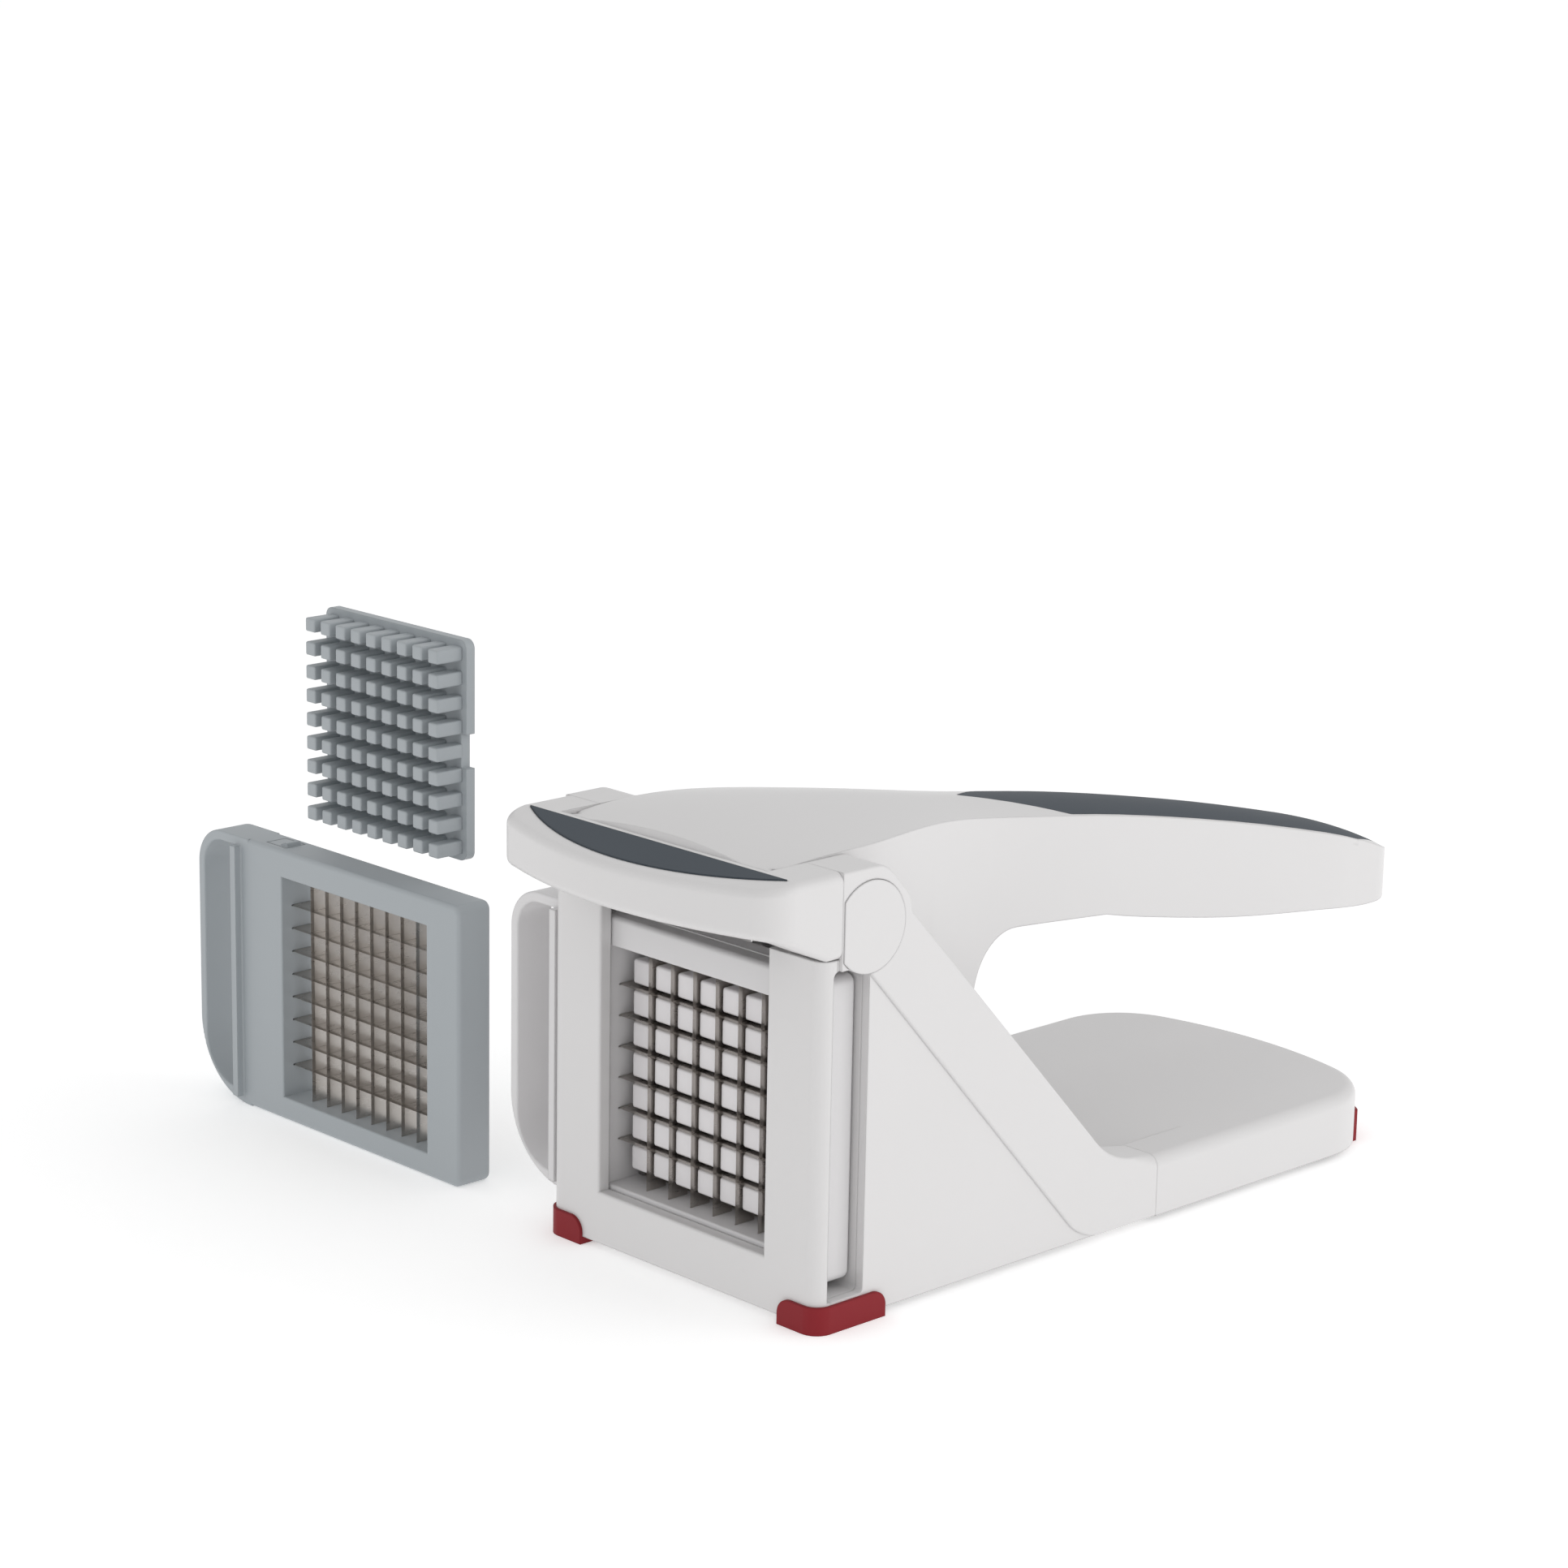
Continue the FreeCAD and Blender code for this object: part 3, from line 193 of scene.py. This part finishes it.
def metal(name, colour, rough, brushed=(1.0, 1.0, 1.0)):
    """Ground steel: fine scratches stretched along one axis set its sheen and relief."""
    mat = bpy.data.materials.new(name)
    mat.use_nodes = True
    nodes = mat.node_tree.nodes
    links = mat.node_tree.links
    shader = nodes["Principled BSDF"]
    shader.inputs["Metallic"].default_value = 1.0
    coords = nodes.new("ShaderNodeTexCoord")
    stretch = nodes.new("ShaderNodeMapping")
    stretch.inputs["Scale"].default_value = brushed
    scratches = nodes.new("ShaderNodeTexNoise")
    scratches.inputs["Scale"].default_value = 900.0
    scratches.inputs["Detail"].default_value = 4.0
    tone = nodes.new("ShaderNodeMix")
    tone.data_type = "RGBA"
    tone.inputs["A"].default_value = (*[c * 0.85 for c in colour], 1.0)
    tone.inputs["B"].default_value = (*colour, 1.0)
    sheen = nodes.new("ShaderNodeMapRange")
    sheen.inputs["To Min"].default_value = rough - 0.08
    sheen.inputs["To Max"].default_value = rough + 0.12
    bump = nodes.new("ShaderNodeBump")
    bump.inputs["Strength"].default_value = 0.2
    bump.inputs["Distance"].default_value = 0.00003
    links.new(coords.outputs["Object"], stretch.inputs["Vector"])
    links.new(stretch.outputs["Vector"], scratches.inputs["Vector"])
    links.new(scratches.outputs["Fac"], tone.inputs["Factor"])
    links.new(scratches.outputs["Fac"], sheen.inputs["Value"])
    links.new(scratches.outputs["Fac"], bump.inputs["Height"])
    links.new(tone.outputs["Result"], shader.inputs["Base Color"])
    links.new(sheen.outputs["Result"], shader.inputs["Roughness"])
    links.new(bump.outputs["Normal"], shader.inputs["Normal"])
    return mat


pin_steel = metal("pin_steel", (0.62, 0.61, 0.60), 0.3)
cleaned("pivot_axles", "pivot_pins", "body", pin_steel)

# ---------------------------------------------------------------- feet
# Red rubber feet, pushed on: two wrap the front corners with thin upturned skins, two hug
# the round rear corners.
red = moulded("red_rubber", (0.235, 0.012, 0.018), 0.5, grain=0.35, mottle=0.06, shine=0.25)
for side in ("right", "left"):
    cleaned("front_foot_" + side, "foot_front_" + side, "body", red)
    cleaned("rear_foot_" + side, "foot_rear_" + side, "body", red)

# ---------------------------------------------------------------- lever
# One moulding: broad paddle over the chamber, thick handle, and a hollow web that reaches
# down to the carriage. A strip closes the handle below; a slate grip is let into its top.
cleaned("lever_body", "lever_shell", "lever", white)
cleaned("lever_underside", "lever_cover", "lever", white)
cleaned("grip", "grip_inlay", "lever", slate)
cleaned("lever_link_pin", "link_pin", "lever", pin_steel)

# ---------------------------------------------------------------- pusher carriage
# Moulded slide that runs in the grooves of the chamber walls and carries the pusher; the
# lever's pin drives it through two slotted yokes.
cleaned("slide", "carriage", "carriage", white)

# ---------------------------------------------------------------- pushers
# A plate with one rounded stud for each cell of its blade grid: seven by seven on the
# fitted pusher in white, nine by nine on the spare in light blue-grey.


def new_tree(name, inputs):
    """A geometry node tree with named inputs, given as (name, socket type, default)."""
    tree = bpy.data.node_groups.new(name, "GeometryNodeTree")
    tree.interface.new_socket("Geometry", in_out="INPUT", socket_type="NodeSocketGeometry")
    for label, kind, value in inputs:
        item = tree.interface.new_socket(label, in_out="INPUT", socket_type=kind)
        if value is not None:
            item.default_value = value
    tree.interface.new_socket("Geometry", in_out="OUTPUT", socket_type="NodeSocketGeometry")
    return tree


def grown(name, tree, values):
    """A new object whose mesh the node tree makes with these input values."""
    obj = bpy.data.objects.new(name, bpy.data.meshes.new(name))
    bpy.context.scene.collection.objects.link(obj)
    mod = obj.modifiers.new("grow", "NODES")
    mod.node_group = tree
    for item in tree.interface.items_tree:
        if item.item_type == "SOCKET" and item.in_out == "INPUT" and item.name in values:
            mod[item.identifier] = values[item.name]
    return obj


STUD_CREASE = 60.0


def stud_mesh(name, wide, tall, deep, ease):
    """One stud, tip towards -Y and root at Y = 0: rounded corners and a rounded tip."""
    mesh = bpy.data.meshes.new(name)
    work = bmesh.new()
    bmesh.ops.create_cube(work, size=1.0)
    for v in work.verts:
        v.co = Vector((v.co.x * wide, (v.co.y - 0.5) * deep, v.co.z * tall)) * MM
    tip_and_sides = [e for e in work.edges if min(v.co.y for v in e.verts) < -0.5 * deep * MM]
    bmesh.ops.bevel(work, geom=tip_and_sides, offset=ease * MM, segments=2, profile=0.5, affect="EDGES")
    work.to_mesh(mesh)
    work.free()
    smooth_by_angle(mesh, STUD_CREASE)
    return bpy.data.objects.new(name, mesh)


def stud_tree():
    """Studs on a square grid in the XZ plane, each at the root plane of the plate."""
    tree = new_tree("studs_on_grid", [
        ("Stud", "NodeSocketObject", None), ("Count", "NodeSocketInt", 7),
        ("Pitch", "NodeSocketFloat", 0.01), ("Centre", "NodeSocketVector", None),
        ("Material", "NodeSocketMaterial", None)])
    nodes, links = tree.nodes, tree.links
    inp = nodes.new("NodeGroupInput")
    out = nodes.new("NodeGroupOutput")
    less = nodes.new("ShaderNodeMath")
    less.operation = "SUBTRACT"
    less.inputs[1].default_value = 1.0
    span = nodes.new("ShaderNodeMath")
    span.operation = "MULTIPLY"
    grid = nodes.new("GeometryNodeMeshGrid")
    turn = nodes.new("GeometryNodeTransform")
    turn.inputs["Rotation"].default_value = (math.radians(90.0), 0.0, 0.0)
    info = nodes.new("GeometryNodeObjectInfo")
    spread = nodes.new("GeometryNodeInstanceOnPoints")
    real = nodes.new("GeometryNodeRealizeInstances")
    paint = nodes.new("GeometryNodeSetMaterial")
    links.new(inp.outputs["Count"], less.inputs[0])
    links.new(less.outputs[0], span.inputs[0])
    links.new(inp.outputs["Pitch"], span.inputs[1])
    links.new(span.outputs[0], grid.inputs["Size X"])
    links.new(span.outputs[0], grid.inputs["Size Y"])
    links.new(inp.outputs["Count"], grid.inputs["Vertices X"])
    links.new(inp.outputs["Count"], grid.inputs["Vertices Y"])
    links.new(grid.outputs["Mesh"], turn.inputs["Geometry"])
    links.new(inp.outputs["Centre"], turn.inputs["Translation"])
    links.new(inp.outputs["Stud"], info.inputs["Object"])
    links.new(turn.outputs["Geometry"], spread.inputs["Points"])
    links.new(info.outputs["Geometry"], spread.inputs["Instance"])
    links.new(spread.outputs["Instances"], real.inputs["Geometry"])
    links.new(real.outputs["Geometry"], paint.inputs["Geometry"])
    links.new(inp.outputs["Material"], paint.inputs["Material"])
    links.new(paint.outputs["Geometry"], out.inputs["Geometry"])
    return tree


studs_on_grid = stud_tree()


def studs(name, node, body, slot, mat, count, pitch, wide, tall, ease):
    """The studs of one pusher, standing on the front face of its plate."""
    low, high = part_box(node)
    deep = (high.y - low.y) / MM
    model = stud_mesh(name + "_model", wide, tall, deep, ease)
    centre = Vector(((low.x + high.x) / 2.0, high.y, (low.z + high.z) / 2.0))
    obj = grown(name, studs_on_grid, {"Stud": model, "Count": count, "Pitch": pitch * MM,
                                      "Centre": centre, "Material": mat})
    finished(obj, body, slot, node)
    bpy.data.objects.remove(model)


stud_white = moulded("pusher_white", (0.74, 0.72, 0.73), 0.33, clear=0.15, ease=0.3)
blue_grey = moulded("blue_grey_plastic", (0.375, 0.405, 0.425), 0.42, ease=0.5)
cleaned("fitted_pusher_plate", "pusher_plate", "carriage", stud_white)
studs("fitted_pusher_studs", "pusher_studs", "carriage", "stud_white", stud_white,
      count=7, pitch=10.0, wide=8.5, tall=7.9, ease=0.9)
cleaned("spare_plate", "spare_pusher_plate", "spare_pusher", blue_grey)
studs("spare_studs", "spare_pusher_studs", "spare_pusher", "cartridge_grey", blue_grey,
      count=9, pitch=8.0, wide=4.9, tall=4.6, ease=0.6)

# ---------------------------------------------------------------- blade cartridges
# A moulded frame with a pull loop at its left end, a sprung latch in its top and two sets
# of thin steel blades half-lapped into a grid.
cartridge_white = moulded("cartridge_white", (0.68, 0.67, 0.675), 0.34, clear=0.15)
cleaned("fitted_cartridge", "cartridge_frame", "body", cartridge_white)
cleaned("fitted_latch", "cartridge_latch", "cartridge_latch", cartridge_white)
cleaned("spare_cartridge", "spare_frame", "spare_cartridge", blue_grey)
cleaned("spare_cartridge_latch", "spare_latch", "spare_latch", blue_grey)
blade_steel = metal("blade_steel", (0.56, 0.53, 0.50), 0.28, brushed=(1.0, 0.15, 1.0))


GRIND = 1.2
LAP_PLAY = 0.05


def blade_mesh(name, axis, thick, front, back, length, lines, lap, notch_behind):
    """A blade along +axis from 0: ground to an edge in front, notched halfway at each line."""
    mesh = bpy.data.meshes.new(name)
    work = bmesh.new()
    middle = (front + back) / 2.0
    stations = [(0.0, False)]
    for line in lines:
        stations += [(line - lap, False), (line - lap, True), (line + lap, True), (line + lap, False)]
    stations.append((length, False))
    rings = []
    for along, notched in stations:
        edge, shoulder, rear = front, front + GRIND * MM, back
        if notched and notch_behind:
            rear = middle
        elif notched:
            edge, shoulder = middle, middle
        ring = []
        for across, y in ((0.0, edge), (thick / 2.0, shoulder), (thick / 2.0, rear),
                          (-thick / 2.0, rear), (-thick / 2.0, shoulder)):
            ring.append(work.verts.new((across, y, along) if axis == "Z" else (along, y, across)))
        rings.append(ring)
    for a, b in zip(rings, rings[1:]):
        for k in range(5):
            work.faces.new((a[k], a[(k + 1) % 5], b[(k + 1) % 5], b[k]))
    work.faces.new(rings[0])
    work.faces.new(rings[-1])
    bmesh.ops.recalc_face_normals(work, faces=work.faces)
    work.to_mesh(mesh)
    work.free()
    return bpy.data.objects.new(name, mesh)


def row_tree():
    """Copies of one object in a straight row."""
    tree = new_tree("blades_in_a_row", [
        ("Blade", "NodeSocketObject", None), ("Count", "NodeSocketInt", 6),
        ("Start", "NodeSocketVector", None), ("Step", "NodeSocketVector", None),
        ("Material", "NodeSocketMaterial", None)])
    nodes, links = tree.nodes, tree.links
    inp = nodes.new("NodeGroupInput")
    out = nodes.new("NodeGroupOutput")
    row = nodes.new("GeometryNodeMeshLine")
    info = nodes.new("GeometryNodeObjectInfo")
    spread = nodes.new("GeometryNodeInstanceOnPoints")
    real = nodes.new("GeometryNodeRealizeInstances")
    paint = nodes.new("GeometryNodeSetMaterial")
    links.new(inp.outputs["Count"], row.inputs["Count"])
    links.new(inp.outputs["Start"], row.inputs["Start Location"])
    links.new(inp.outputs["Step"], row.inputs["Offset"])
    links.new(row.outputs["Mesh"], spread.inputs["Points"])
    links.new(inp.outputs["Blade"], info.inputs["Object"])
    links.new(info.outputs["Geometry"], spread.inputs["Instance"])
    links.new(spread.outputs["Instances"], real.inputs["Geometry"])
    links.new(real.outputs["Geometry"], paint.inputs["Geometry"])
    links.new(inp.outputs["Material"], paint.inputs["Material"])
    links.new(paint.outputs["Geometry"], out.inputs["Geometry"])
    return tree


blades_in_a_row = row_tree()


def blades(name, node, body, axis, count, pitch):
    """One direction of a blade grid; the upright set is notched behind, the level set in front."""
    low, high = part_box(node)
    upright = axis == "Z"
    length = high.z - low.z if upright else high.x - low.x
    thick = (high.x - low.x if upright else high.z - low.z) - (count - 1) * pitch * MM
    lines = [length / 2.0 + (k - (count - 1) / 2.0) * pitch * MM for k in range(count)]
    model = blade_mesh(name + "_model", axis, thick, low.y, high.y, length, lines,
                       thick / 2.0 + LAP_PLAY * MM, upright)
    if upright:
        start, step = Vector((low.x + thick / 2.0, 0.0, low.z)), Vector((pitch * MM, 0.0, 0.0))
    else:
        start, step = Vector((low.x, 0.0, low.z + thick / 2.0)), Vector((0.0, 0.0, pitch * MM))
    obj = grown(name, blades_in_a_row, {"Blade": model, "Count": count, "Start": start,
                                        "Step": step, "Material": blade_steel})
    finished(obj, body, "steel", node)
    bpy.data.objects.remove(model)


blades("fitted_upright_blades", "blades_upright", "body", "Z", 6, 10.0)
blades("fitted_level_blades", "blades_level", "body", "X", 6, 10.0)
blades("spare_upright_blades", "spare_blades_upright", "spare_cartridge", "Z", 8, 8.0)
blades("spare_level_blades", "spare_blades_level", "spare_cartridge", "X", 8, 8.0)

# ---------------------------------------------------------------- screws
# Nine pan-head steel screws with cross recesses hold the plate under the body.
screw_steel = metal("screw_steel", (0.45, 0.45, 0.46), 0.4)
cleaned("underside_screws", "bottom_screws", "body", screw_steel)

# ---------------------------------------------------------------- floor, light and camera
# Pale seamless floor in a white studio, with broad soft lights at the right rear and the
# left front.
FLOOR = 60.0
table = bpy.data.meshes.new("floor")
table.from_pydata([(-FLOOR, -FLOOR, 0), (FLOOR, -FLOOR, 0), (FLOOR, FLOOR, 0), (-FLOOR, FLOOR, 0)],
                  [], [(0, 1, 2, 3)])
floor = bpy.data.objects.new("floor", table)
bpy.context.scene.collection.objects.link(floor)
floor_mat = moulded("pale_floor", (0.93, 0.93, 0.93), 0.9, grain=0.0, mottle=0.003)
floor_shader = floor_mat.node_tree.nodes["Principled BSDF"].inputs
floor_shader["Emission Color"].default_value = (1.0, 1.0, 1.0, 1.0)
floor_shader["Emission Strength"].default_value = 0.32
floor_shader["Specular IOR Level"].default_value = 0.0
table.materials.append(floor_mat)

world = bpy.data.worlds.new("studio")
world.use_nodes = True
sky = world.node_tree.nodes["Background"].inputs
sky["Color"].default_value = (1.0, 1.0, 1.0, 1.0)
sky["Strength"].default_value = 0.74
bpy.context.scene.world = world


def softbox(name, where, aim, size, power):
    """Square area light at where, turned to face aim."""
    data = bpy.data.lights.new(name, "AREA")
    data.shape = "SQUARE"
    data.size = size
    data.energy = power
    obj = bpy.data.objects.new(name, data)
    obj.location = where
    obj.rotation_euler = (Vector(aim) - Vector(where)).to_track_quat("-Z", "Y").to_euler()
    bpy.context.scene.collection.objects.link(obj)


softbox("key_right", place(850, 420, 500), place(0, 120, 60), 0.9, 2.3)
softbox("key_left", place(-700, -900, 500), place(0, 60, 60), 0.9, 0.5)

azimuth = math.radians(45.98)
elevation = math.radians(13.87)
roll = math.radians(1.08)
distance = 1257.74
slide_x, slide_y = -12.44, 72.13
forward = Vector((-math.sin(azimuth) * math.cos(elevation), math.cos(azimuth) * math.cos(elevation),
                  -math.sin(elevation)))
right = Vector((math.cos(azimuth), math.sin(azimuth), 0.0))
up = right.cross(forward)
cam_right = right * math.cos(roll) + up * math.sin(roll)
cam_up = -right * math.sin(roll) + up * math.cos(roll)
eye = place(0, 60, 70) + (cam_right * slide_x + cam_up * slide_y - forward * distance) * MM
lens = bpy.data.cameras.new("camera")
lens.sensor_width = 36.0
lens.lens = 93.1677
lens.clip_start = 0.05
lens.clip_end = 50.0
camera = bpy.data.objects.new("camera", lens)
camera.matrix_world = Matrix((
    (cam_right.x, cam_up.x, -forward.x, eye.x),
    (cam_right.y, cam_up.y, -forward.y, eye.y),
    (cam_right.z, cam_up.z, -forward.z, eye.z),
    (0.0, 0.0, 0.0, 1.0)))
bpy.context.scene.collection.objects.link(camera)
bpy.context.scene.camera = camera
bpy.context.scene.view_settings.view_transform = "Standard"
